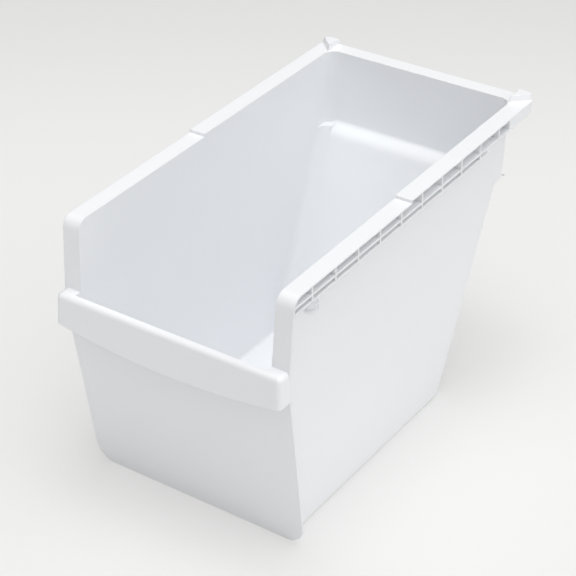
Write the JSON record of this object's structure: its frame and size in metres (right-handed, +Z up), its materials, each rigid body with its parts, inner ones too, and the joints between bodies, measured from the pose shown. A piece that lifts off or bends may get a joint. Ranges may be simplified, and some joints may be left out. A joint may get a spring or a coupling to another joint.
{
  "type": "freezer drawer",
  "caption": "Deep one-piece moulded freezer drawer with a low front, a grip lip along its top, ribbed side flanges that slide on runners, and a slanting back wall.",
  "frame": {"origin": "centre of the bounding box in X and Y, on the plane that the drawer's flat bottom stands on", "axes": "+Z up, -Y towards the front lip that is pulled, +X to the right as seen from the front; the drawer is mirror symmetric about X = 0"},
  "size_m": [0.25, 0.451, 0.2995],
  "materials": {
    "drawer": "cool white injection-moulded polystyrene, smooth with a soft gloss"
  },
  "bodies": {
    "root": {"drawer": "drawer"}
  },
  "joints": []
}
